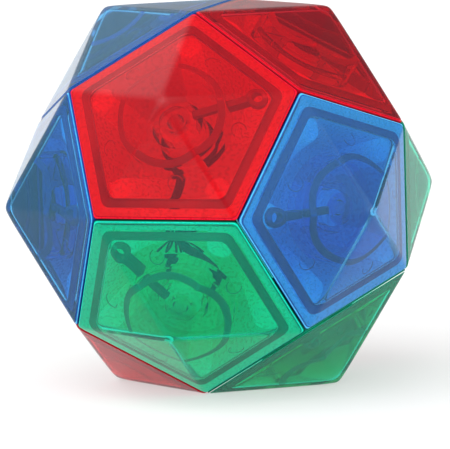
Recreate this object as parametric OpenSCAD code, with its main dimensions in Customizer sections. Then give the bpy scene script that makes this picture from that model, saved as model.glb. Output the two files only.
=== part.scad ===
// Twelve-sided twisting puzzle: twelve hollow five-sided units round one core.
// Each unit is a fixed tray with a pyramid cap that turns on it and clicks five times a turn.

/* [Body] */
// Width between two opposite flat diamond faces, mm
across_flats = 76; // [60:1:100]
// Wall thickness of the coloured plastic, mm
wall = 1.3; // [1:0.1:1.8]
// Gap between one unit and the next, mm
seam_gap = 0.3; // [0.2:0.05:0.6]
// Gap under each cap that lets it turn, mm
turn_gap = 0.15; // [0.1:0.05:0.3]
// Radius of the ball that rounds each tip, mm
tip_round = 3.4; // [1:0.2:5]
// Width of the rib round the inside of each cap's rim, mm
rib_width = 1.5; // [0.8:0.1:1.6]
// How far each outer corner is worn back from sharp, mm
corner_cut = 0.35; // [0.1:0.05:0.8]

/* [Tray] */
// Depth of each tray below its cap, mm
tray_depth = 12.6; // [9:0.2:15]
// Thickness of the tray floor, mm
floor_thick = 1.5; // [1:0.1:2.5]
// Width of the flat deck round the tray opening, mm
deck_width = 2.6; // [1.8:0.1:4]
// Thickness of that deck, mm
deck_thick = 1.2; // [0.8:0.1:2]
// Radius of the post the hub turns on, mm
post_radius = 3.6; // [3:0.1:4.5]

/* [Hub] */
// Outside radius of the ring inside each cap, mm
ring_radius = 10.6; // [8:0.1:12]
// Wall of that ring, mm
ring_wall = 1.3; // [0.8:0.1:2]
// Thickness of the web that joins ring and sleeve, mm
web_thick = 1.2; // [0.8:0.1:2]
// Width of the click arm, mm
arm_width = 1.5; // [0.8:0.1:2.5]
// Radius of the click knob, mm
knob_radius = 1.9; // [1:0.1:2.2]
// Where the knob sits, as a share of the way from centre to corner
knob_share = 0.67; // [0.6:0.01:0.7]
// Running clearance between the hub sleeve and its post, mm
run_fit = 0.08; // [0.05:0.01:0.1]

/* [Core and pivots] */
// Radius of the ball in the middle, mm
core_radius = 12; // [9:0.5:13]
// Radius of each of the twelve arms of the core, mm
arm_radius = 4.2; // [3.6:0.1:5]
// Radius of each pivot pin, mm
pin_radius = 1.6; // [1.2:0.1:2]
// Radius of each pin head, mm
head_radius = 3; // [2.4:0.1:3.6]
// Thickness of each pin head, mm
head_tall = 1.2; // [0.8:0.1:2]

/* [Tie cord] */
// Radius of the dark cord that ties the two front trays, mm
cord_radius = 0.9; // [0.5:0.1:1.1]
// Depth of the cord windows below each tray deck, mm
window_depth = 3.2; // [3:0.1:4]

/* [Colours] */
// Colour of the red units
red_plastic = "#e12828"; // color
// Colour of the blue units
blue_plastic = "#2f63b4"; // color
// Colour of the green units
green_plastic = "#00a56e"; // color

/* [Hidden] */
$fn = 64;
core_plastic = "#d9d9d4";
dark_cord = "#1d1a1c";
eps = 0.01;
sides = 5;
phi = (1 + sqrt(5)) / 2;
unit = across_flats / (2 * phi);

// One unit, measured along its own axis from the middle of the puzzle
half_turn = 180;
half_step = half_turn / sides;
facet_slope = atan(1 / phi);
corner_r = unit / phi / sin(half_step);
flat_r = corner_r * cos(half_step);
tip_z = unit * sqrt(phi + 2);
face_z = sqrt(3 * unit * unit - corner_r * corner_r);
peak = tip_z - face_z;
ridge_slope = atan(peak / corner_r);
wall_drop = wall / cos(facet_slope);
rib_tall = rib_width * tan(facet_slope);
side_inset = seam_gap / 2 / cos(facet_slope) / cos(half_step);
side_wall = wall / cos(facet_slope) / cos(half_step);
glue_gap = 0.05;
slip_gap = 0.1;

// Tray
floor_z = face_z - tray_depth;
opening_flat = flat_r - deck_width;
opening_round = opening_flat * 1.13;
opening_z = face_z - deck_thick - 0.05;
knob_reach = corner_r * knob_share;
click_post_r = knob_radius + 0.6;
dimple_deep = 0.5;
spigot_r = 2.6;
spigot_tall = floor_thick - 0.2;
arm_root = 2.5;
// Keeps the parting line of the core ball clear of its arms
ball_turn = 59;

// Hub
cavity_round = knob_reach + knob_radius + 0.7;
sleeve_r = post_radius + 1.4;
sleeve_drop = 5;
web_z = face_z + 0.5;
web_top = web_z + web_thick;
ring_drop = 1.5;
arm_z = face_z + turn_gap + 0.25;
arm_tall = 2.4;
knob_floor = 0.6;
knob_clear = 0.4;
pin_hole = pin_radius + 0.3;

// Tie cord: a loop round each post, then a straight run out through the side window
cord_loop_z = face_z - 8;
cord_loop_r = post_radius + 0.1 + cord_radius;
window_z = face_z - window_depth;
window_reach = window_z * tan(facet_slope);
cord_tilt = atan2(window_z - cord_loop_z, window_reach - cord_loop_r);
cord_run = norm([window_z - cord_loop_z, window_reach - cord_loop_r]);
knot_r = cord_radius * 1.6;
window_r = knot_r + 0.3;
window_long = (side_wall + side_inset + window_r) / sin(90 - facet_slope - cord_tilt);

// Pivot pin
head_z = web_top + slip_gap;
barb_z = 10;
barb_tall = 1.2;
barb_r = pin_radius + 0.4;
slit_wide = 0.7;
slit_deep = 7;

// Outward direction of each unit, then the corner its click arm points at
front_high = [[0, -phi, 1], [1, -1, 1]];
front_low = [[0, -phi, -1], [-1 / phi, -phi, 0]];
right_front = [[phi, -1, 0], [1 / phi, -phi, 0]];
left_front = [[-phi, -1, 0], [-1 / phi, -phi, 0]];
top_left = [[-1, 0, phi], [0, -1 / phi, phi]];
top_right = [[1, 0, phi], [phi, 0, 1 / phi]];
right_rear = [[phi, 1, 0], [phi, 0, -1 / phi]];
bottom_right = [[1, 0, -phi], [1, -1, -1]];
bottom_left = [[-1, 0, -phi], [0, -1 / phi, -phi]];
left_rear = [[-phi, 1, 0], [-phi, 0, 1 / phi]];
rear_high = [[0, phi, 1], [1, 1, 1]];
rear_low = [[0, phi, -1], [-1 / phi, phi, 0]];
all_units = [
    front_high, front_low, right_front, left_front,
    top_left, top_right, right_rear, bottom_right,
    bottom_left, left_rear, rear_high, rear_low
];

function unit_length(v) = v / norm(v);

// Stands a unit drawn along +Z on its own axis, first corner towards the given corner
module stand(where) {
    z = unit_length(where[0]);
    x = unit_length(where[1] - (where[1] * z) * z);
    y = cross(z, x);
    multmatrix([
        [x[0], y[0], z[0], 0],
        [x[1], y[1], z[1], 0],
        [x[2], y[2], z[2], 0],
        [0, 0, 0, 1]
    ]) children();
}

// Five-sided pyramid that starts at height base and ends in a point at height top
module pyramid(base, top) {
    translate([0, 0, base])
        cylinder(r1 = (top - base) * corner_r / peak, r2 = 0, h = top - base, $fn = sides);
}

// Five-sided wedge that widens away from the middle, its walls moved in by inset
module wedge(low, high, inset) {
    translate([0, 0, low])
        cylinder(
            r1 = low * corner_r / face_z - inset,
            r2 = high * corner_r / face_z - inset,
            h = high - low,
            $fn = sides
        );
}

module between(low, high, radius) {
    translate([0, 0, low]) cylinder(r = radius, h = high - low);
}

// Rounds the very tip: a ball that touches the five ridges, on a cone that follows them
module tip_limit() {
    ball_z = tip_z - tip_round / cos(ridge_slope);
    touch_z = ball_z + tip_round * cos(ridge_slope);
    touch_r = tip_round * sin(ridge_slope);
    foot_z = face_z - 1;
    translate([0, 0, ball_z]) sphere(r = tip_round);
    translate([0, 0, foot_z])
        cylinder(
            r1 = touch_r + (touch_z - foot_z) / tan(ridge_slope) + slip_gap,
            r2 = touch_r,
            h = touch_z - foot_z
        );
}

// Hollow of a cap: it follows the five facets, and is narrower where the rib runs round the rim.
// A pocket in each corner keeps the rib clear of the click knob.
module cap_hollow(base) {
    rib_corner = (tip_z - wall_drop - base) * corner_r / peak - rib_width / cos(half_step);
    intersection() {
        union() {
            pyramid(base + rib_tall, tip_z - wall_drop);
            translate([0, 0, base - 1])
                cylinder(r = rib_corner, h = rib_tall + 1 + eps, $fn = sides);
            for (i = [0:sides - 1])
                rotate(i * 2 * half_step) translate([knob_reach, 0, base - 1])
                    cylinder(r = knob_radius + knob_clear, h = rib_tall + 1 + eps);
        }
        between(face_z - 1, tip_z, cavity_round);
    }
}

module cap_shape() {
    base = face_z + turn_gap;
    difference() {
        intersection() {
            pyramid(base, tip_z);
            tip_limit();
            between(face_z, tip_z, corner_r - corner_cut - turn_gap);
        }
        cap_hollow(base);
    }
}

module tray_body(low, high) {
    intersection() {
        wedge(low, high, side_inset);
        translate([0, 0, low])
            cylinder(
                r1 = low * corner_r / face_z - corner_cut - side_inset,
                r2 = high * corner_r / face_z - corner_cut - side_inset,
                h = high - low
            );
    }
}

// Post with a shallow dimple that the click knob drops into
module click_post() {
    translate([knob_reach, 0, 0])
        rotate(half_turn) difference() {
            between(floor_z + floor_thick / 2, face_z, click_post_r);
            translate([0, 0, face_z - dimple_deep])
                cylinder(r1 = knob_radius * 0.6, r2 = knob_radius, h = dimple_deep + eps);
        }
}

module tray_shape() {
    difference() {
        union() {
            difference() {
                tray_body(floor_z, face_z);
                wedge(floor_z + floor_thick, face_z - deck_thick, side_inset + side_wall);
                intersection() {
                    translate([0, 0, opening_z])
                        cylinder(r = opening_flat / cos(half_step), h = tray_depth, $fn = sides);
                    between(opening_z - 1, face_z + 1, opening_round);
                }
            }
            between(floor_z, face_z, post_radius);
            intersection() {
                tray_body(floor_z, face_z);
                for (i = [0:sides - 1]) rotate(i * 2 * half_step) click_post();
            }
        }
        between(floor_z - 1, face_z + 1, pin_radius + slip_gap / 2);
        between(floor_z - 1, floor_z + spigot_tall, spigot_r + slip_gap / 2);
        for (i = [0:sides - 1])
            rotate((2 * i + 1) * half_step)
                along_cord() between(cord_run - window_long, cord_run + window_long, window_r);
    }
}

// Turns something drawn along +Z to follow the cord from its loop out to a side window
module along_cord() {
    translate([cord_loop_r, 0, cord_loop_z]) rotate([0, 90 - cord_tilt, 0]) children();
}

module cord_half() {
    translate([0, 0, cord_loop_z])
        rotate_extrude() translate([cord_loop_r, 0]) circle(r = cord_radius);
    along_cord() between(0, cord_run, cord_radius);
}

module click_arm() {
    translate([sleeve_r - 1, -arm_width / 2, arm_z])
        cube([knob_reach - knob_radius * 0.8 - sleeve_r + 1, arm_width, arm_tall]);
    translate([knob_reach, 0, 0])
        difference() {
            between(arm_z, arm_z + arm_tall, knob_radius);
            between(arm_z + knob_floor, arm_z + arm_tall + 1, knob_radius / 2);
        }
}

module hub_shape() {
    difference() {
        intersection() {
            union() {
                difference() {
                    between(face_z - ring_drop, tip_z, ring_radius);
                    between(face_z - ring_drop - 1, tip_z + 1, ring_radius - ring_wall);
                }
                between(web_z, web_top, ring_radius - ring_wall / 2);
                between(face_z - sleeve_drop, web_top, sleeve_r);
                click_arm();
            }
            pyramid(face_z - sleeve_drop - 1, tip_z - wall_drop - glue_gap);
        }
        between(face_z - sleeve_drop - 1, web_z, post_radius + run_fit);
        between(face_z, web_top + arm_tall, pin_hole);
        between(web_top, web_top + arm_tall, head_radius + 0.3);
    }
}

// Snap pin: a flat head, a shank split at its tip, and a barb that opens inside the core
module pin_shape() {
    difference() {
        union() {
            between(barb_z, head_z + eps, pin_radius);
            between(head_z, head_z + head_tall, head_radius);
            translate([0, 0, barb_z])
                cylinder(r1 = pin_radius - 0.2, r2 = barb_r, h = barb_tall);
        }
        translate([-barb_r - 1, -slit_wide / 2, barb_z - 1])
            cube([2 * barb_r + 2, slit_wide, slit_deep + 1]);
    }
}

module core() {
    color(core_plastic) difference() {
        union() {
            rotate(ball_turn) sphere(r = core_radius);
            for (where = all_units)
                stand(where) {
                    between(core_radius - arm_root, floor_z, arm_radius);
                    between(floor_z - 1, floor_z + spigot_tall, spigot_r);
                }
        }
        for (where = all_units)
            stand(where) {
                between(barb_z - 1, face_z, pin_radius + slip_gap / 2);
                between(barb_z - 1, barb_z + barb_tall + slip_gap, barb_r + slip_gap);
            }
    }
}

module pins(these, plastic) {
    color(plastic) for (where = these) stand(where) pin_shape();
}

module pins_red() {
    pins([front_high, top_right, bottom_left, rear_low], red_plastic);
}

module pins_blue() {
    pins([right_front, left_front, top_left, rear_high], blue_plastic);
}

module pins_green() {
    pins([front_low, right_rear, bottom_right, left_rear], green_plastic);
}

module tie_cord() {
    shared_side = [0, -1, 0];
    color(dark_cord) {
        stand([front_high[0], shared_side]) cord_half();
        stand([front_low[0], shared_side]) cord_half();
        translate(norm([window_z, window_reach]) * shared_side) sphere(r = knot_r);
    }
}

module tray(where, plastic) {
    color(plastic) stand(where) tray_shape();
}

module hub(where, plastic) {
    color(plastic) stand(where) hub_shape();
}

module cap(where, plastic) {
    color(plastic) stand(where) cap_shape();
}

module tray_front_high() {
    tray(front_high, red_plastic);
}

module tray_front_low() {
    tray(front_low, green_plastic);
}

module tray_right_front() {
    tray(right_front, blue_plastic);
}

module tray_left_front() {
    tray(left_front, blue_plastic);
}

module tray_top_left() {
    tray(top_left, blue_plastic);
}

module tray_top_right() {
    tray(top_right, red_plastic);
}

module tray_right_rear() {
    tray(right_rear, green_plastic);
}

module tray_bottom_right() {
    tray(bottom_right, green_plastic);
}

module tray_bottom_left() {
    tray(bottom_left, red_plastic);
}

module tray_left_rear() {
    tray(left_rear, green_plastic);
}

module tray_rear_high() {
    tray(rear_high, blue_plastic);
}

module tray_rear_low() {
    tray(rear_low, red_plastic);
}

module hub_front_high() {
    hub(front_high, red_plastic);
}

module hub_front_low() {
    hub(front_low, green_plastic);
}

module hub_right_front() {
    hub(right_front, blue_plastic);
}

module hub_left_front() {
    hub(left_front, blue_plastic);
}

module hub_top_left() {
    hub(top_left, blue_plastic);
}

module hub_top_right() {
    hub(top_right, red_plastic);
}

module hub_right_rear() {
    hub(right_rear, green_plastic);
}

module hub_bottom_right() {
    hub(bottom_right, green_plastic);
}

module hub_bottom_left() {
    hub(bottom_left, red_plastic);
}

module hub_left_rear() {
    hub(left_rear, green_plastic);
}

module hub_rear_high() {
    hub(rear_high, blue_plastic);
}

module hub_rear_low() {
    hub(rear_low, red_plastic);
}

module cap_front_high() {
    cap(front_high, red_plastic);
}

module cap_front_low() {
    cap(front_low, green_plastic);
}

module cap_right_front() {
    cap(right_front, blue_plastic);
}

module cap_left_front() {
    cap(left_front, blue_plastic);
}

module cap_top_left() {
    cap(top_left, blue_plastic);
}

module cap_top_right() {
    cap(top_right, red_plastic);
}

module cap_right_rear() {
    cap(right_rear, green_plastic);
}

module cap_bottom_right() {
    cap(bottom_right, green_plastic);
}

module cap_bottom_left() {
    cap(bottom_left, red_plastic);
}

module cap_left_rear() {
    cap(left_rear, green_plastic);
}

module cap_rear_high() {
    cap(rear_high, blue_plastic);
}

module cap_rear_low() {
    cap(rear_low, red_plastic);
}

core();
pins_red();
pins_blue();
pins_green();
tie_cord();
tray_front_high();
tray_front_low();
tray_right_front();
tray_left_front();
tray_top_left();
tray_top_right();
tray_right_rear();
tray_bottom_right();
tray_bottom_left();
tray_left_rear();
tray_rear_high();
tray_rear_low();
hub_front_high();
hub_front_low();
hub_right_front();
hub_left_front();
hub_top_left();
hub_top_right();
hub_right_rear();
hub_bottom_right();
hub_bottom_left();
hub_left_rear();
hub_rear_high();
hub_rear_low();
cap_front_high();
cap_front_low();
cap_right_front();
cap_left_front();
cap_top_left();
cap_top_right();
cap_right_rear();
cap_bottom_right();
cap_bottom_left();
cap_left_rear();
cap_rear_high();
cap_rear_low();
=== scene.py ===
import bpy
import bmesh
import math
from mathutils import Matrix, Vector


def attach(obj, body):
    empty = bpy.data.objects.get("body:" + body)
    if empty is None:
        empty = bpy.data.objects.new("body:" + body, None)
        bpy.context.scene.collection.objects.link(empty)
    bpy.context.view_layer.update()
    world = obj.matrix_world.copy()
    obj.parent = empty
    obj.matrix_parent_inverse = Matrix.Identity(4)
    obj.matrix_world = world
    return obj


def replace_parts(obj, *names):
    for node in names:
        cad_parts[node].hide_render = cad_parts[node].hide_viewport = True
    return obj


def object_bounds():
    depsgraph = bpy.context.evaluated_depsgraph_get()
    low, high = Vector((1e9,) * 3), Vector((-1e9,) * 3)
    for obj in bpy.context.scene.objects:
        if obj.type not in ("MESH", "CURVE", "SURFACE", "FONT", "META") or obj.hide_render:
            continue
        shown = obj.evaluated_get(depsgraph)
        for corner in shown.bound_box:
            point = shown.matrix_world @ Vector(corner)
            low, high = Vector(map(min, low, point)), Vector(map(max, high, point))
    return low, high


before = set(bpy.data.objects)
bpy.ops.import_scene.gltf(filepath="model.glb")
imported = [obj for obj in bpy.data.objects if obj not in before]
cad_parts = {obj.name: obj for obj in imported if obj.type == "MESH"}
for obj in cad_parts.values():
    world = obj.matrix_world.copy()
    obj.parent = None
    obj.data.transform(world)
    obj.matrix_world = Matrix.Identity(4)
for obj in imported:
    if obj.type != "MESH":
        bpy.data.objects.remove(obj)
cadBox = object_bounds()

mm = 0.001
golden = (1 + math.sqrt(5)) / 2
sides = 5
fullTurn = 2 * math.pi
halfStep = math.pi / sides
acrossFlats = cadBox[1].x - cadBox[0].x
unitSize = acrossFlats / (2 * golden)
cornerR = unitSize / golden / math.sin(halfStep)
flatR = cornerR * math.cos(halfStep)
tipZ = unitSize * math.sqrt(golden + 2)
faceZ = math.sqrt(3 * unitSize ** 2 - cornerR ** 2)
slope = 1 / golden  # how far a facet falls for each step outwards

# colour of each unit, its outward axis, and the corner its click arm points at, as in the part
unitLayout = {
    "front_high": ("red", (0, -golden, 1), (1, -1, 1)),
    "front_low": ("green", (0, -golden, -1), (-1 / golden, -golden, 0)),
    "right_front": ("blue", (golden, -1, 0), (1 / golden, -golden, 0)),
    "left_front": ("blue", (-golden, -1, 0), (-1 / golden, -golden, 0)),
    "top_left": ("blue", (-1, 0, golden), (0, -1 / golden, golden)),
    "top_right": ("red", (1, 0, golden), (golden, 0, 1 / golden)),
    "right_rear": ("green", (golden, 1, 0), (golden, 0, -1 / golden)),
    "bottom_right": ("green", (1, 0, -golden), (1, -1, -1)),
    "bottom_left": ("red", (-1, 0, -golden), (0, -1 / golden, -golden)),
    "left_rear": ("green", (-golden, 1, 0), (-golden, 0, 1 / golden)),
    "rear_high": ("blue", (0, golden, 1), (1, 1, 1)),
    "rear_low": ("red", (0, golden, -1), (-1 / golden, golden, 0)),
}


def standingMatrix(axis, corner):
    z = Vector(axis).normalized()
    x = (Vector(corner) - Vector(corner).dot(z) * z).normalized()
    y = z.cross(x)
    return Matrix((x, y, z)).transposed().to_4x4()


def unitMatrix(name):
    return standingMatrix(*unitLayout[name][1:])


# ---- small tools for objects and for the nodes of materials and shapes
def newObject(name, data):
    obj = bpy.data.objects.new(name, data)
    bpy.context.scene.collection.objects.link(obj)
    return obj


def finished(bm):
    bmesh.ops.recalc_face_normals(bm, faces=bm.faces)
    return bm


def newMesh(name, bm, materials=()):
    mesh = bpy.data.meshes.new(name)
    bm.to_mesh(mesh)
    for mat in materials:
        mesh.materials.append(mat)
    return mesh


def linkPiece(name, mesh, body):
    obj = newObject(name, mesh)
    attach(obj, body)
    return obj


def newMaterial(name):
    mat = bpy.data.materials.new(name)
    mat.use_nodes = True
    return mat, mat.node_tree, mat.node_tree.nodes["Principled BSDF"]


def addNode(tree, kind, inputs=(), **settings):
    # inputs gives each socket, by name or number, a value or another node's output
    node = tree.nodes.new(kind)
    for key, value in settings.items():
        setattr(node, key, value)
    for label, value in dict(inputs).items():
        if isinstance(value, bpy.types.NodeSocket):
            tree.links.new(value, node.inputs[label])
        else:
            node.inputs[label].default_value = value
    return node.outputs


def maths(tree, operation, a, b):
    return addNode(tree, "ShaderNodeMath", {0: a, 1: b}, operation=operation)[0]


def noiseNode(tree, vector, scale, detail, roughness):
    inputs = {"Vector": vector, "Scale": scale, "Detail": detail, "Roughness": roughness}
    return addNode(tree, "ShaderNodeTexNoise", inputs)["Fac"]


def rangeNode(tree, value, low, high, start=0.3, stop=0.7):
    inputs = {"Value": value, "From Min": start, "From Max": stop, "To Min": low, "To Max": high}
    return addNode(tree, "ShaderNodeMapRange", inputs)["Result"]


def mixNode(tree, factor, low, high):
    node = tree.nodes.new("ShaderNodeMix")
    node.data_type = "RGBA"
    colourA, colourB = [s for s in node.inputs if s.type == "RGBA"]
    colourA.default_value = (*low, 1)
    colourB.default_value = (*high, 1)
    tree.links.new(factor, node.inputs["Factor"])
    return [s for s in node.outputs if s.type == "RGBA"][0]


def bumpNode(tree, height, strength, depth):
    inputs = {"Height": height, "Strength": strength, "Distance": depth}
    return addNode(tree, "ShaderNodeBump", inputs)["Normal"]


def objectCoords(tree):
    return tree.nodes.new("ShaderNodeTexCoord").outputs["Object"]


# ---- camera
view = dict(
    azimuth=16.8,
    elevation=7.9,
    roll=-1.7,
    distance=0.9,
    frameWide=89.9 * mm,
    slideX=0.73 * mm,
    slideY=-6.05 * mm,
    sensor=36,
    nearest=0.05,
    farthest=50,
)


def makeCamera():
    data = bpy.data.cameras.new("camera")
    az = math.radians(view["azimuth"])
    el = math.radians(view["elevation"])
    back = Vector((math.sin(az) * math.cos(el), -math.cos(az) * math.cos(el), math.sin(el)))
    data.sensor_width = view["sensor"]
    data.lens = view["sensor"] * view["distance"] / view["frameWide"]
    data.clip_start = view["nearest"]
    data.clip_end = view["farthest"]
    turn = (-back).to_track_quat("-Z", "Y").to_matrix().to_4x4()
    turn = turn @ Matrix.Rotation(math.radians(view["roll"]), 4, "Z")
    right = turn.col[0].xyz
    up = turn.col[1].xyz
    place = back * view["distance"] + right * view["slideX"] + up * view["slideY"]
    obj = newObject("camera", data)
    obj.matrix_world = Matrix.Translation(place) @ turn
    bpy.context.scene.camera = obj


makeCamera()
print("camera done")

# ---- tie cord: a loop round each front post, joined by a knot between the two trays
cordSize = dict(
    radius=0.9 * mm,
    around=16,
    fine=5,
    loopRadius=4.6 * mm,
    loopDrop=8 * mm,
    loopArc=(42, 325, 12),  # degrees round the post: first, end and step
    run=((5.6, -1.5), (7.2, -0.4), (9.2, 0), (11.4, 0), (12.9, 0), (14.6, 0)),  # mm out and aside
    windowDrop=3.2 * mm,
    bendHalf=0.9 * mm,
    bendShare=0.98,
    knotLobe=0.33 * mm,
    knotStrand=0.42 * mm,
    knotSteps=60,
    knotAround=12,
    strand=0.24 * mm,
    strands=9,
    strandAround=8,
    curlStep=2.4,
    fray=(  # mm out, aside and up, and how far the curl moves the point out and up
        (17.6, 0.2, 29.0, 0, 0),
        (15.6, 0.5, 28.3, 0, 0),
        (13.0, 1.4, 27.7, 0, 0.3),
        (10.6, 2.8, 27.7, 0, 0.8),
        (8.4, 4.6, 27.8, 1.2, 1.3),
    ),
    pitch=1.3,
    waver=0.6,
    waverDetail=2.0,
    weaveDepth=0.12 * mm,
    rough=0.7,
    dark=(0.006, 0.004, 0.005),
    light=(0.05, 0.03, 0.035),
)
windowZ = faceZ - cordSize["windowDrop"]
windowR = windowZ / golden


def cordWeave():
    # strands laid slantwise round the cord, on the piece's own UV map
    size = cordSize
    mat, tree, bsdf = newMaterial("dark twisted cord")
    uv = addNode(tree, "ShaderNodeUVMap", uv_map="UVMap")["UV"]
    bands = {"Vector": uv, "Scale": size["pitch"],
             "Distortion": size["waver"], "Detail": size["waverDetail"]}
    wave = addNode(tree, "ShaderNodeTexWave", bands, bands_direction="DIAGONAL")["Fac"]
    tree.links.new(mixNode(tree, wave, size["dark"], size["light"]), bsdf.inputs["Base Color"])
    tree.links.new(bumpNode(tree, wave, 1.0, size["weaveDepth"]), bsdf.inputs["Normal"])
    bsdf.inputs["Roughness"].default_value = size["rough"]
    return mat


def smoothPath(points, fine):
    # a curve through every point
    ends = [points[0] * 2 - points[1], *points, points[-1] * 2 - points[-2]]
    path = []
    for a, b, c, d in zip(ends, ends[1:], ends[2:], ends[3:]):
        for k in range(fine):
            t = k / fine
            path.append(0.5 * (2 * b + (c - a) * t + (2 * a - 5 * b + 4 * c - d) * t * t
                               + (3 * b - a - 3 * c + d) * t ** 3))
    return path + [points[-1]]


def tube(bm, path, radius, around, closed=False):
    count = len(path)
    side = None
    rings = []
    along = [0.0]
    for n, point in enumerate(path):
        if closed:
            ahead = path[(n + 1) % count] - path[n - 1]
        else:
            ahead = path[min(n + 1, count - 1)] - path[max(n - 1, 0)]
        ahead.normalize()
        side = side or ahead.orthogonal()
        side = (side - side.dot(ahead) * ahead).normalized()
        other = ahead.cross(side)
        turns = [fullTurn * k / around for k in range(around)]
        rings.append([point + radius * (math.cos(a) * side + math.sin(a) * other) for a in turns])
        along.append(along[-1] + (path[(n + 1) % count] - point).length)
    rows = [[bm.verts.new(p) for p in ring] for ring in rings]
    uv = bm.loops.layers.uv.verify()
    pairs = list(zip(rows, rows[1:]))
    if closed:
        # the last ring is turned to meet the first with the least twist
        shift = min(range(around), key=lambda k: (rings[-1][0] - rings[0][k]).length)
        pairs.append((rows[-1], rows[0][shift:] + rows[0][:shift]))
    for n, (low, high) in enumerate(pairs):
        for k in range(around):
            face = bm.faces.new((low[k], low[(k + 1) % around], high[(k + 1) % around], high[k]))
            face.smooth = True
            places = ((k, n), (k + 1, n), (k + 1, n + 1), (k, n + 1))
            for loop, (turn, row) in zip(face.loops, places):
                loop[uv].uv = (turn / around, along[row] / (2 * radius))
    if not closed:
        bm.faces.new(rows[0])
        bm.faces.new(rows[-1])


def cordFrame(name):
    # the unit's own frame, with x towards the side that the two trays share
    return standingMatrix(unitLayout[name][1], (0, -1, 0))


def cordHalf(place):
    # the loop and the straight run in one tray
    radius = cordSize["loopRadius"]
    loopZ = faceZ - cordSize["loopDrop"]
    points = []
    for degrees in range(*cordSize["loopArc"]):
        a = math.radians(degrees)
        points.append(Vector((radius * math.cos(a), radius * math.sin(a), loopZ)))
    rise = (windowZ - loopZ) / (windowR - radius)
    for r, y in cordSize["run"]:
        points.append(Vector((r * mm, y * mm, loopZ + (r * mm - radius) * rise)))
    return [place @ p for p in points]


def addKnot(bm, place):
    # a closed overhand knot
    steps = cordSize["knotSteps"]
    knot = []
    for k in range(steps):
        t = fullTurn * k / steps
        across = math.sin(t) + 2 * math.sin(2 * t)
        along = math.cos(t) - 2 * math.cos(2 * t)
        knot.append(place + cordSize["knotLobe"] * Vector((across, -math.sin(3 * t), along)))
    tube(bm, knot, cordSize["knotStrand"], cordSize["knotAround"], closed=True)


def addFray(bm, place):
    # the cord's frayed end, spread out inside the lower unit
    strands = cordSize["strands"]
    for n in range(strands):
        spread = (n / (strands - 1) - 0.5) * 2
        curl = math.sin(n * cordSize["curlStep"])
        points = []
        for x, y, z, curlX, curlZ in cordSize["fray"]:
            points.append(place @ (Vector((x + curlX * curl, y * spread, z + curlZ * curl)) * mm))
        tube(bm, smoothPath(points, cordSize["fine"]), cordSize["strand"], cordSize["strandAround"])


def cordPiece(name, bm, material):
    mesh = newMesh(name, finished(bm), [material])
    bm.free()
    return linkPiece(name, mesh, "frame")


def makeCord():
    material = cordWeave()
    lowerFrame = cordFrame("front_low")
    upper = cordHalf(cordFrame("front_high"))
    lower = cordHalf(lowerFrame)
    knotPlace = lowerFrame @ Vector((windowR, 0, windowZ))
    bend = Vector((0, 0, cordSize["bendHalf"]))
    middle = knotPlace * cordSize["bendShare"]
    path = smoothPath([*upper, middle + bend, middle - bend, *lower[::-1]], cordSize["fine"])
    bm = bmesh.new()
    tube(bm, path, cordSize["radius"], cordSize["around"])
    piece = cordPiece("tieCord", bm, material)
    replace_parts(piece, "tie_cord")
    bm = bmesh.new()
    addKnot(bm, knotPlace)
    addFray(bm, lowerFrame)
    knotPiece = cordPiece("cordKnot", bm, material)


makeCord()
print("cord done")

# ---- plastics
# the darkest colour of each hue, used for the rim rib, is painted shade: it stands for the shadow under the
# cap's rim and in the seams between units
plasticLook = {
    "red": dict(body=(0.96, 0.05, 0.09), shade=(0.94, 0.03, 0.07), deep=(0.40, 0.001, 0.012),
                rib=(0.16, 0.003, 0.008), tray=(0.54, 0.002, 0.016), soak=(0.93, 0.30, 0.36)),
    "blue": dict(body=(0.20, 0.64, 0.96), shade=(0.16, 0.60, 0.94), deep=(0.008, 0.055, 0.28),
                 rib=(0.006, 0.040, 0.22), tray=(0.060, 0.35, 0.56), soak=(0.34, 0.70, 0.88)),
    "green": dict(body=(0.01, 0.92, 0.70), shade=(0.005, 0.88, 0.64), deep=(0.0, 0.20, 0.12),
                  rib=(0.0, 0.12, 0.065), tray=(0.001, 0.45, 0.32), soak=(0.20, 0.92, 0.76)),
}
plasticFinish = dict(
    ior=1.26,
    shine=0.28,
    cloud=(55.0, 3.0, 0.55),  # scale, detail and roughness, here and in the next two
    grain=(1400.0, 2.0, 0.6),
    ripple=(420.0, 2.0, 0.5),
    rippleDepth=0.02 * mm,
    roughSpread=0.3,
    soakDensity=300.0,
)
# low and high name the two colours that a kind mottles between, or one colour twice
plasticKinds = {
    "outer": dict(label="cap outside", low="shade", high="body", clear=0.91, rough=0.05, peel=0.3,
                  soaked=True),
    "inner": dict(label="cap inside", low="body", high="body", clear=1.0, rough=0.05, peel=0.2,
                  soaked=True),
    # the glow of hub and tray plastic is painted light: an emission in the plastic's own colour that stands
    # in for light reaching them through the clear caps
    "hub": dict(label="hub plastic", low="deep", high="deep", clear=0.1, rough=0.2, peel=0.5, glow=0.12),
    "tray": dict(label="tray plastic", low="tray", high="tray", clear=0.3, rough=0.3, peel=0.2, glow=0.8),
    # the rim rib's plastic is opaque and dark: painted shade under the rim and on the trays' outside walls
    "rib": dict(label="rim rib", low="rib", high="deep", clear=0.0, rough=0.2, peel=0.5),
    "web": dict(label="hub web", low="body", high="body", clear=1.0, rough=0.05, peel=0.2, ior=1.07),
}
plainFinish = dict(
    grainDetail=4.0,
    fineScale=8,
    fineDetail=3.0,
    noiseRough=0.6,
    roughSpread=0.2,
    bumpDepth=0.05 * mm,
)
coreLook = dict(low=(0.62, 0.62, 0.60), high=(0.78, 0.78, 0.76), scale=90.0, rough=0.45, bump=0.3)


def roughNode(tree, grain, rough, spread):
    return rangeNode(tree, grain, rough * (1 - spread), rough * (1 + spread))


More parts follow.
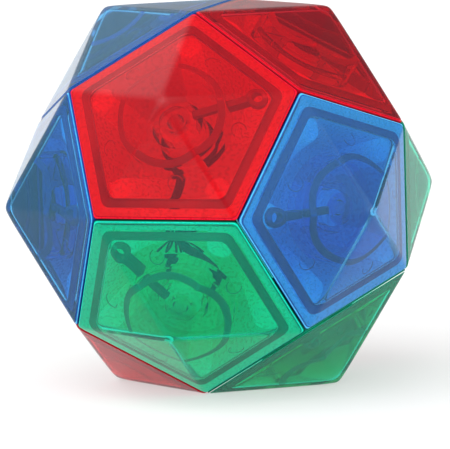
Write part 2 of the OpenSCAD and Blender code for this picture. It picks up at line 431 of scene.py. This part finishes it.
def makePlastic(hue, label, low, high, clear, rough, peel, soaked=False, glow=0.0,
                ior=plasticFinish["ior"]):
    finish = plasticFinish
    look = plasticLook[hue]
    mat, tree, bsdf = newMaterial(hue + " " + label)
    coords = objectCoords(tree)
    cloud = noiseNode(tree, coords, *finish["cloud"])
    grain = noiseNode(tree, coords, *finish["grain"])
    ripple = noiseNode(tree, coords, *finish["ripple"])
    colour = mixNode(tree, rangeNode(tree, cloud, 0.0, 1.0), look[low], look[high])
    tree.links.new(colour, bsdf.inputs["Base Color"])
    tree.links.new(roughNode(tree, grain, rough, finish["roughSpread"]), bsdf.inputs["Roughness"])
    tree.links.new(bumpNode(tree, ripple, peel, finish["rippleDepth"]), bsdf.inputs["Normal"])
    bsdf.inputs["Transmission Weight"].default_value = clear
    bsdf.inputs["IOR"].default_value = ior
    bsdf.inputs["Specular IOR Level"].default_value = finish["shine"]
    # painted glow: the plastic's own colour is added as emitted light
    if glow:
        tree.links.new(colour, bsdf.inputs["Emission Color"])
        bsdf.inputs["Emission Strength"].default_value = glow
    if soaked:
        soak = {"Color": (*look["soak"], 1), "Density": finish["soakDensity"]}
        volume = addNode(tree, "ShaderNodeVolumeAbsorption", soak)["Volume"]
        tree.links.new(volume, tree.nodes["Material Output"].inputs["Volume"])
    return mat


def makePlain(name, low, high, scale, rough, bump=0.0, glow=0.0):
    finish = plainFinish
    mat, tree, bsdf = newMaterial(name)
    coords = objectCoords(tree)
    grain = noiseNode(tree, coords, scale, finish["grainDetail"], finish["noiseRough"])
    tree.links.new(mixNode(tree, grain, low, high), bsdf.inputs["Base Color"])
    tree.links.new(roughNode(tree, grain, rough, finish["roughSpread"]), bsdf.inputs["Roughness"])
    if bump:
        fineScale = scale * finish["fineScale"]
        fine = noiseNode(tree, coords, fineScale, finish["fineDetail"], finish["noiseRough"])
        tree.links.new(bumpNode(tree, fine, bump, finish["bumpDepth"]), bsdf.inputs["Normal"])
    if glow:
        bsdf.inputs["Emission Color"].default_value = (1, 1, 1, 1)
        bsdf.inputs["Emission Strength"].default_value = glow
    return mat


plastics = {hue: {kind: makePlastic(hue, **finish) for kind, finish in plasticKinds.items()}
            for hue in plasticLook}
coreNylon = makePlain("milky core nylon", **coreLook)
print("plastics done")

# ---- shapes shared by all twelve units, drawn along +Z from the middle of the puzzle
outline = dict(arcSteps=6, sideSteps=6, turnSteps=80, mostRound=0.92, mostCut=0.45)


def between(a, b, steps):
    return [a.lerp(b, k / steps) for k in range(1, steps)]


def pentagonRing(inradius, rounding, z):
    rounding = min(rounding, inradius * outline["mostRound"])
    reach = (inradius - rounding) / math.cos(halfStep)
    points = []
    for i in range(sides):
        middle = 2 * halfStep * i
        centre = Vector((reach * math.cos(middle), reach * math.sin(middle), z))
        arc = []
        for k in range(outline["arcSteps"] + 1):
            a = middle - halfStep + 2 * halfStep * k / outline["arcSteps"]
            arc.append(centre + rounding * Vector((math.cos(a), math.sin(a), 0)))
        if points:
            points += between(points[-1], arc[0], outline["sideSteps"])
        points += arc
    return points + between(points[-1], points[0], outline["sideSteps"])


def circleRing(radius, z, centre=Vector((0, 0, 0)), steps=None):
    steps = steps or outline["turnSteps"]
    if radius <= 0:
        return [centre + Vector((0, 0, z))]
    angles = (fullTurn * k / steps for k in range(steps))
    return [centre + Vector((radius * math.cos(a), radius * math.sin(a), z)) for a in angles]


def skin(bm, rings, slots=None, closed=False, alongSlots=None):
    # joins neighbouring rings with faces; a ring of one point is a pole
    # slots gives a material to each gap between rings, alongSlots to each step along a ring
    rows = [[bm.verts.new(p) for p in ring] for ring in rings]
    pairs = list(zip(rows, rows[1:]))
    if closed:
        pairs.append((rows[-1], rows[0]))
    for n, (low, high) in enumerate(pairs):
        count = max(len(low), len(high))
        for k in range(count):
            corners = []
            for v in (low[k % len(low)], low[(k + 1) % len(low)],
                      high[(k + 1) % len(high)], high[k % len(high)]):
                if v not in corners:
                    corners.append(v)
            face = bm.faces.new(corners)
            face.material_index = slots[n] if slots else alongSlots[k] if alongSlots else 0
            face.smooth = True


def softProfile(corners, radius, steps=3):
    # rounds the corners of a closed outline of (r, z) points
    rounded = []
    count = len(corners)
    for n in range(count):
        here = Vector(corners[n])
        before = Vector(corners[n - 1]) - here
        after = Vector(corners[(n + 1) % count]) - here
        cut = min(radius, before.length * outline["mostCut"], after.length * outline["mostCut"])
        start = here + before.normalized() * cut
        stop = here + after.normalized() * cut
        for k in range(steps + 1):
            t = k / steps
            rounded.append(start * (1 - t) ** 2 + here * 2 * t * (1 - t) + stop * t ** 2)
    return rounded


def addPiece(name, bm, materials, body, node, matrix=None):
    if matrix:
        bm = bm.copy()
        bm.transform(matrix)
    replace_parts(linkPiece(name, newMesh(name, bm, materials), body), node)


# ---- cap: a hollow five-sided pyramid with soft ridges and a rib round its rim
capSize = dict(
    turnGap=0.15 * mm,
    wall=1.3 * mm,
    tipSoft=1.0 * mm,
    ridgeRound=1.3 * mm,
    edgeRound=0.22 * mm,
    cavityRound=1.6 * mm,
    tipRound=0.4,  # share of the cavity's rounding that is left at its tip
    ribWidth=1.5 * mm,
    ribSoft=0.15 * mm,
    ribSink=0.1 * mm,
    innerSoft=0.9 * mm,
    outsideRings=(0.012, 0.03, 0.055, 0.085, 0.12, 0.17, 0.24, 0.34, 0.46, 0.58, 0.7, 0.82, 0.92),
    insideRings=(0.985, 0.94, 0.87, 0.76, 0.62, 0.48, 0.35, 0.24, 0.15, 0.08, 0.03),
)
capBase = faceZ + capSize["turnGap"]
wallDrop = capSize["wall"] * math.sqrt(1 + slope ** 2)
rimR = (tipZ - capBase) / slope
cavityR = (tipZ - wallDrop - capBase) / slope


def cavityZ(r):
    return tipZ - wallDrop - slope * math.sqrt(r * r + capSize["innerSoft"] ** 2)


def capShape():
    size = capSize
    rings = []
    slots = []

    def add(slot, r, rounding, z):
        rings.append(pentagonRing(r, rounding, z) if r else [Vector((0, 0, z))])
        slots.append(slot)

    def facetZ(r):
        return tipZ - slope * math.sqrt(r * r + size["tipSoft"] ** 2)

    edge = size["edgeRound"]
    ridge = size["ridgeRound"]
    add(0, 0, 0, facetZ(0))
    for share in size["outsideRings"]:
        add(0, share * rimR, ridge, facetZ(share * rimR))
    # the rim's rounded edge; its outer side takes the dark hub plastic, painted shade at the seam between
    # units
    add(0, rimR - 2.2 * edge, ridge, facetZ(rimR - 2.2 * edge))
    add(2, rimR - 1.7 * edge, ridge, facetZ(rimR - 1.7 * edge))
    add(2, rimR - 1.2 * edge, ridge, capBase + 0.5 * edge)
    add(2, rimR - 1.1 * edge, ridge, capBase + 0.2 * edge)
    add(1, rimR - 1.4 * edge, ridge, capBase)
    soft = size["ribSoft"]
    ribR = cavityR - size["ribWidth"]
    cavity = size["cavityRound"]
    # the rib under the rim and its inner side take the dark rib plastic: painted shade under the rim
    add(3, cavityR + size["ribSink"], cavity, capBase)
    add(3, ribR + soft, cavity, capBase)
    add(3, ribR, cavity, capBase + soft)
    add(1, ribR, cavity, cavityZ(ribR) - soft)
    tip = size["tipRound"]
    for share in size["insideRings"]:
        add(1, share * ribR, cavity * (tip + (1 - tip) * share), cavityZ(share * ribR))
    add(1, 0, 0, cavityZ(0))
    bm = bmesh.new()
    skin(bm, rings, slots)
    return finished(bm)


# ---- hub: scalloped ring, web and sleeve in one moulding, with the click arm and its knob
hubSize = dict(
    ringRadius=10.6 * mm,
    ringWall=1.3 * mm,
    ringDrop=1.5 * mm,
    webLift=0.5 * mm,
    webThick=1.2 * mm,
    sleeveRadius=5.0 * mm,
    sleeveDrop=5.0 * mm,
    bore=3.68 * mm,
    pinHole=1.9 * mm,
    armStart=3.6 * mm,
    armWidth=1.5 * mm,
    armLift=0.4 * mm,
    armTall=2.4 * mm,
    armSteps=8,
    knobRadius=1.9 * mm,
    knobLeast=0.4 * mm,
    knobFloor=0.3 * mm,
    knobCentre=0.01 * mm,
    knobSteps=32,
    knobMeets=0.9,  # share of the knob's radius at which the arm runs into it
    knobShare=0.67,
    glue=0.06 * mm,
    soft=0.18 * mm,
)
knobReach = cornerR * hubSize["knobShare"]


def roofZ(x, y):
    # inside of the cap above a point, less a hair of glue
    facets = [(2 * i + 1) * halfStep for i in range(sides)]
    return cavityZ(max(x * math.cos(a) + y * math.sin(a) for a in facets)) - hubSize["glue"]


def hubShape():
    size = hubSize
    outer = size["ringRadius"]
    inner = outer - size["ringWall"]
    low = faceZ - size["ringDrop"]
    web = faceZ + size["webLift"]
    top = web + size["webThick"]
    foot = faceZ - size["sleeveDrop"]
    steps = outline["turnSteps"] * 2
    sections = []
    for k in range(steps):
        a = fullTurn * k / steps
        c = math.cos(a)
        s = math.sin(a)
        corners = [
            (outer, low), (outer, roofZ(outer * c, outer * s)), (inner, roofZ(inner * c, inner * s)),
            (inner, top), (size["pinHole"], top), (size["pinHole"], web), (size["bore"], web),
            (size["bore"], foot), (size["sleeveRadius"], foot), (size["sleeveRadius"], web),
            (inner, web), (inner, low),
        ]
        sections.append([Vector((p.x * c, p.x * s, p.y)) for p in softProfile(corners, size["soft"])])
    bm = bmesh.new()
    perCorner = len(sections[0]) // len(corners)
    deepCorner = 1  # from here to the next corner runs the ring's top edge
    alongSlots = [0 if k // perCorner == deepCorner else 1 for k in range(len(sections[0]))]
    skin(bm, sections, closed=True, alongSlots=alongSlots)
    addArm(bm)
    addKnob(bm)
    return finished(bm)


def addArm(bm):
    # two straight stretches, inside and outside the ring, whose tops stay under the cap
    size = hubSize
    low = faceZ + capSize["turnGap"] + size["armLift"]
    half = size["armWidth"] / 2
    knobEdge = knobReach - size["knobRadius"] * size["knobMeets"]
    ring = size["ringRadius"]
    stretches = (
        (size["armStart"], ring - size["ringWall"], low + size["webThick"]),
        (ring, knobEdge, low),
    )
    for start, stop, base in stretches:
        sections = []
        for k in range(size["armSteps"] + 1):
            x = start + (stop - start) * k / size["armSteps"]
            top = min(low + size["armTall"], roofZ(x, half), roofZ(x, -half))
            corners = [(-half, base), (half, base), (half, top), (-half, top)]
            sections.append([Vector((x, p.x, p.y)) for p in softProfile(corners, size["soft"])])
        middleA = sum(sections[0], Vector()) / len(sections[0])
        middleB = sum(sections[-1], Vector()) / len(sections[-1])
        skin(bm, [[middleA], *sections, [middleB]])


def addKnob(bm):
    size = hubSize
    low = faceZ + capSize["turnGap"] + size["armLift"]
    outer = size["knobRadius"]
    inner = outer / 2
    steps = size["knobSteps"]
    sections = []
    for k in range(steps):
        a = fullTurn * k / steps
        c = math.cos(a)
        s = math.sin(a)
        corners = [(outer, low)]
        for r in (outer, inner):
            roof = roofZ(knobReach + r * c, r * s)
            corners.append((r, max(low + size["knobLeast"], min(low + size["armTall"], roof))))
        deck = low + size["knobFloor"]
        corners += [(inner, deck), (size["knobCentre"], deck), (size["knobCentre"], low)]
        profile = softProfile(corners, size["soft"], 2)
        perCorner = len(profile) // len(corners)
        sections.append([Vector((knobReach + p.x * c, p.x * s, p.y)) for p in profile])
    floorCorner = 3  # from here on the knob's hollow floor and underside, which stay clear
    alongSlots = [1 if k // perCorner >= floorCorner else 0 for k in range(len(profile))]
    skin(bm, sections, closed=True, alongSlots=alongSlots)


# ---- tray: tapered five-sided cup with a deck, a post and five dimpled click posts
traySize = dict(
    depth=12.6 * mm,
    floorThick=1.5 * mm,
    deckWidth=2.6 * mm,
    deckThick=1.2 * mm,
    wall=1.3 * mm,
    seamGap=0.3 * mm,
    cornerRound=0.8 * mm,
    edgeSoft=0.15 * mm,
    postRadius=3.6 * mm,
    postBore=1.65 * mm,
    openingRound=2 * mm,
    clickRadius=2.4 * mm,
    clickSoft=0.2 * mm,
    clickSteps=28,
    dimple=0.5 * mm,
    dimpleRim=0.78,
    dimpleFlat=0.45,
)
floorZ = faceZ - traySize["depth"]


def trayShape():
    size = traySize
    tilt = flatR / faceZ
    lean = math.sqrt(1 + tilt ** 2)
    gap = size["seamGap"] / 2 * lean
    thick = size["wall"] * lean
    corner = size["cornerRound"]
    soft = size["edgeSoft"]

    def side(z, inset):
        return z * tilt - inset

    insideFloor = floorZ + size["floorThick"]
    underDeck = faceZ - size["deckThick"]
    opening = flatR - size["deckWidth"]
    openingRound = size["openingRound"]
    rings = [
        circleRing(0, floorZ),
        pentagonRing(side(floorZ, gap) * 0.5, corner, floorZ),
        pentagonRing(side(floorZ, gap) - soft, corner, floorZ),
        pentagonRing(side(floorZ + soft, gap), corner, floorZ + soft),
        pentagonRing(side((floorZ + faceZ) / 2, gap), corner, (floorZ + faceZ) / 2),
        pentagonRing(side(faceZ - soft, gap), corner, faceZ - soft),
        pentagonRing(side(faceZ, gap) - soft, corner, faceZ),
        pentagonRing(opening + soft, openingRound, faceZ),
        pentagonRing(opening, openingRound, faceZ - soft),
        pentagonRing(opening, openingRound, underDeck),
        pentagonRing(side(underDeck, gap + thick), corner, underDeck),
        pentagonRing(side(insideFloor + soft, gap + thick), corner, insideFloor + soft),
        pentagonRing(side(insideFloor, gap + thick) - soft, corner, insideFloor),
        pentagonRing(side(insideFloor, gap + thick) * 0.5, corner, insideFloor),
        circleRing(0, insideFloor),
    ]
    # the outside wall takes the dark rib plastic: painted shade in the seams between units
    outsideWall = (3, 4, 5)
    bm = bmesh.new()
    skin(bm, rings, slots=[1 if n in outsideWall else 0 for n in range(len(rings))])
    post = [
        (size["postBore"], insideFloor), (size["postRadius"], insideFloor),
        (size["postRadius"], faceZ), (size["postBore"], faceZ),
    ]
    skin(bm, [circleRing(p.x, p.y) for p in softProfile(post, size["edgeSoft"])], closed=True)
    for i in range(sides):
        addClickPost(bm, i * 2 * halfStep)
    return finished(bm)


def addClickPost(bm, angle):
    # leans in with the corner of the tray
    size = traySize
    out = Vector((math.cos(angle), math.sin(angle), 0)) * knobReach / faceZ
    radius = size["clickRadius"]
    low = floorZ + size["floorThick"]
    soft = size["clickSoft"]
    bottom = faceZ - size["dimple"]
    profile = [(0, low), (radius, low), (radius, faceZ - soft), (radius - soft, faceZ),
               (radius * size["dimpleRim"], faceZ), (radius * size["dimpleFlat"], bottom), (0, bottom)]
    skin(bm, [circleRing(r, z, out * z, size["clickSteps"]) for r, z in profile])


# ---- building a geometry tree, and taking its result as a plain mesh
def newTree(name, inputs):
    tree = bpy.data.node_groups.new(name, "GeometryNodeTree")
    tree.interface.new_socket("Points", in_out="INPUT", socket_type="NodeSocketGeometry")
    for label, value in inputs.items():
        socket = tree.interface.new_socket(label, in_out="INPUT", socket_type="NodeSocketFloat")
        socket.default_value = value
    tree.interface.new_socket("Shape", in_out="OUTPUT", socket_type="NodeSocketGeometry")
    return tree, tree.nodes.new("NodeGroupInput").outputs


def raised(tree, shape, height):
    offset = addNode(tree, "ShaderNodeCombineXYZ", {"Z": height})[0]
    return addNode(tree, "GeometryNodeTransform", {"Geometry": shape, "Translation": offset})[0]


def joined(tree, shapes):
    node = tree.nodes.new("GeometryNodeJoinGeometry")
    for shape in shapes:
        tree.links.new(shape, node.inputs[0])
    return node.outputs[0]


def finishTree(tree, points, shape, towards, material):
    # puts the shape on every point, turned so that its Z axis looks the given way
    turn = addNode(tree, "FunctionNodeAlignRotationToVector", {"Vector": towards}, axis="Z")[0]
    inputs = {"Points": points, "Instance": shape, "Rotation": turn}
    placed = addNode(tree, "GeometryNodeInstanceOnPoints", inputs)[0]
    real = addNode(tree, "GeometryNodeRealizeInstances", {"Geometry": placed})[0]
    done = addNode(tree, "GeometryNodeSetMaterial", {"Geometry": real, "Material": material})[0]
    tree.links.new(done, tree.nodes.new("NodeGroupOutput").inputs[0])


def bakeTree(name, tree, points, values):
    base = bpy.data.meshes.new(name + "Points")
    base.from_pydata(points, [], [])
    obj = newObject(name + "Points", base)
    modifier = obj.modifiers.new("shape", "NODES")
    modifier.node_group = tree
    for item in tree.interface.items_tree:
        if item.name in values:
            modifier[item.identifier] = values[item.name]
    mesh = bpy.data.meshes.new_from_object(obj.evaluated_get(bpy.context.evaluated_depsgraph_get()))
    obj.modifiers.remove(modifier)
    bpy.data.objects.remove(obj)
    mesh.name = name
    return mesh


# ---- faint marks that the mould leaves inside each cap, one on every facet
markSize = {
    "Mark Radius": 1.5 * mm,
    "Mark Line": 0.09 * mm,
    "Mark Open": 0.62,
}
markPlace = dict(reach=13.2 * mm, aside=9, steps=40, lineSteps=8)


def marksTree(name, material):
    tree, given = newTree(name, markSize)

    def circle(steps, radius):
        return addNode(tree, "GeometryNodeCurvePrimitiveCircle", {"Resolution": steps, "Radius": radius})[0]

    whole = circle(markPlace["steps"], given["Mark Radius"])
    arc = addNode(tree, "GeometryNodeTrimCurve", {"Curve": whole, "End": given["Mark Open"]})[0]
    line = circle(markPlace["lineSteps"], given["Mark Line"])
    sweep = {"Curve": arc, "Profile Curve": line, "Fill Caps": True}
    mark = addNode(tree, "GeometryNodeCurveToMesh", sweep)[0]
    # a facet leans outwards as much as it falls
    place = addNode(tree, "GeometryNodeInputPosition")[0]
    flat = addNode(tree, "ShaderNodeVectorMath", {0: place, 1: (1, 1, 0)}, operation="MULTIPLY")[0]
    outwards = addNode(tree, "ShaderNodeVectorMath", {0: flat}, operation="NORMALIZE")[0]
    leaning = addNode(tree, "ShaderNodeVectorMath", {0: outwards, "Scale": slope}, operation="SCALE")[0]
    towards = addNode(tree, "ShaderNodeVectorMath", {0: leaning, 1: (0, 0, 1)}, operation="ADD")[0]
    finishTree(tree, given["Points"], mark, towards, material)
    return tree


def addMarks(name, material, body, place):
    aside = math.radians(markPlace["aside"])
    reach = markPlace["reach"] / math.cos(aside)
    points = []
    for i in range(sides):
        a = (2 * i + 1) * halfStep + aside
        points.append((reach * math.cos(a), reach * math.sin(a), cavityZ(markPlace["reach"])))
    mesh = bakeTree("capMarks_" + name, marksTree("marks " + name, material), points, markSize)
    mesh.transform(place)
    linkPiece("capMarks_" + name, mesh, body)


# ---- pivot pins and the core they snap into
pinSize = {
    "Shank Radius": 1.6 * mm,
    "Shank Length": 24.1 * mm,
    "Head Radius": 3.0 * mm,
    "Head Height": 1.2 * mm,
    "Head Bevel": 0.35 * mm,
    "Barb Radius": 2.0 * mm,
    "Barb Height": 1.2 * mm,
}
pinPlace = dict(lift=1.8 * mm, steps=40)
coreSize = dict(
    ball=12 * mm,
    arm=4.2 * mm,
    armSink=1.6 * mm,
    armSteps=40,
    collar=0.6 * mm,
    flare=1.4 * mm,
    flareSteps=5,
    endSoft=0.2 * mm,
)


def pinsTree(hue):
    tree, given = newTree("pins " + hue, pinSize)

    def cone(low, high, tall):
        # stands on height zero
        sizes = {"Vertices": pinPlace["steps"], "Radius Top": high, "Radius Bottom": low, "Depth": tall}
        return addNode(tree, "GeometryNodeMeshCone", sizes)["Mesh"]

    length = given["Shank Length"]
    flatTall = maths(tree, "SUBTRACT", given["Head Height"], given["Head Bevel"])
    headTop = maths(tree, "SUBTRACT", given["Head Radius"], given["Head Bevel"])
    foot = maths(tree, "MULTIPLY", length, -1)
    parts = [
        raised(tree, cone(given["Shank Radius"], given["Shank Radius"], length), foot),
        cone(given["Head Radius"], given["Head Radius"], flatTall),
        raised(tree, cone(given["Head Radius"], headTop, given["Head Bevel"]), flatTall),
        raised(tree, cone(given["Shank Radius"], given["Barb Radius"], given["Barb Height"]), foot),
    ]
    position = addNode(tree, "GeometryNodeInputPosition")[0]
    finishTree(tree, given["Points"], joined(tree, parts), position, plastics[hue]["web"])
    return tree


def addPins(hue):
    reach = faceZ + pinPlace["lift"]
    axes = [axis for own, axis, corner in unitLayout.values() if own == hue]
    seats = [Vector(axis).normalized() * reach for axis in axes]
    mesh = bakeTree("pivotPins_" + hue, pinsTree(hue), seats, pinSize)
    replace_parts(linkPiece("pivotPins_" + hue, mesh, "frame"), "pins_" + hue)


def coreShape():
    size = coreSize
    bm = bmesh.new()
    bmesh.ops.create_icosphere(bm, subdivisions=4, radius=size["ball"])
    for face in bm.faces:
        face.smooth = True
    low = size["ball"] - size["armSink"]
    flare = size["flare"]
    radius = size["arm"]
    soft = size["endSoft"]
    for name in unitLayout:
        arm = bmesh.new()
        profile = [(0, low), (radius + flare, low)]
        for k in range(size["flareSteps"] + 1):
            a = math.pi / 2 * k / size["flareSteps"]
            rise = size["collar"] + flare * (1 - math.cos(a))
            profile.append((radius + flare * (1 - math.sin(a)), low + rise))
        profile += [(radius, floorZ - soft), (radius - soft, floorZ), (0, floorZ)]
        skin(arm, [circleRing(r, z, steps=size["armSteps"]) for r, z in profile])
        arm.transform(unitMatrix(name))
        mesh = newMesh("arm", arm)
        bm.from_mesh(mesh)
        bpy.data.meshes.remove(mesh)
        arm.free()
    return finished(bm)


capMesh = capShape()
hubMesh = hubShape()
trayMesh = trayShape()
for name, (hue, axis, corner) in unitLayout.items():
    place = unitMatrix(name)
    face = name + "_face"
    outer, inner, hub, tray, rib, web = plastics[hue].values()
    addPiece("capShell_" + name, capMesh, [outer, inner, hub, rib], face, "cap_" + name, place)
    addPiece("hubRing_" + name, hubMesh, [hub, web], face, "hub_" + name, place)
    addMarks(name, hub, face, place)
    addPiece("trayCup_" + name, trayMesh, [tray, rib], "frame", "tray_" + name, place)
print("caps, hubs and trays done")

addPiece("coreBall", coreShape(), [coreNylon], "frame", "core")
for hue in plasticLook:
    addPins(hue)
print("core and pins done")

# ---- studio
studio = dict(
    floorDrop=0.02 * mm,
    floorReach=8.0,
    floorLook=dict(low=(0.33, 0.33, 0.33), high=(0.36, 0.36, 0.36), scale=3.0, rough=0.6, glow=0.5),
    base=0.42,
    lobes=(  # where the light comes from, how bright it is, and how its edge fades
        ((-0.27, -0.58, 0.77), 3.6, 0.64, 0.91),
        ((1.0, 0.0, -0.05), 3.2, 0.74, 0.94),
        ((0.67, -0.59, 0.45), 0.7, 0.88, 0.98),
        ((-0.59, 0.45, 0.67), 0.8, 0.82, 0.97),
        ((-0.95, -0.13, 0.27), 0.25, 0.82, 0.97),
    ),
)


def makeFloor():
    reach = studio["floorReach"]
    z = cadBox[0].z - studio["floorDrop"]
    bm = bmesh.new()
    corners = ((-reach, -reach, z), (reach, -reach, z), (reach, reach, z), (-reach, reach, z))
    bm.faces.new([bm.verts.new(p) for p in corners])
    mesh = newMesh("floor", bm, [makePlain("pale floor", **studio["floorLook"])])
    bm.free()
    newObject("floor", mesh)


def makeSky():
    world = bpy.data.worlds.new("studio")
    bpy.context.scene.world = world
    world.use_nodes = True
    tree = world.node_tree
    direction = tree.nodes.new("ShaderNodeTexCoord").outputs["Generated"]
    total = studio["base"]
    for towards, power, low, high in studio["lobes"]:
        inputs = {0: direction, 1: Vector(towards).normalized()}
        facing = addNode(tree, "ShaderNodeVectorMath", inputs, operation="DOT_PRODUCT")["Value"]
        total = maths(tree, "ADD", total, rangeNode(tree, facing, 0, power, low, high))
    background = tree.nodes["Background"]
    tree.links.new(total, background.inputs["Strength"])
    background.inputs["Color"].default_value = (1, 1, 1, 1)


makeFloor()
makeSky()
bpy.context.scene.view_settings.view_transform = "Standard"
print("studio done")
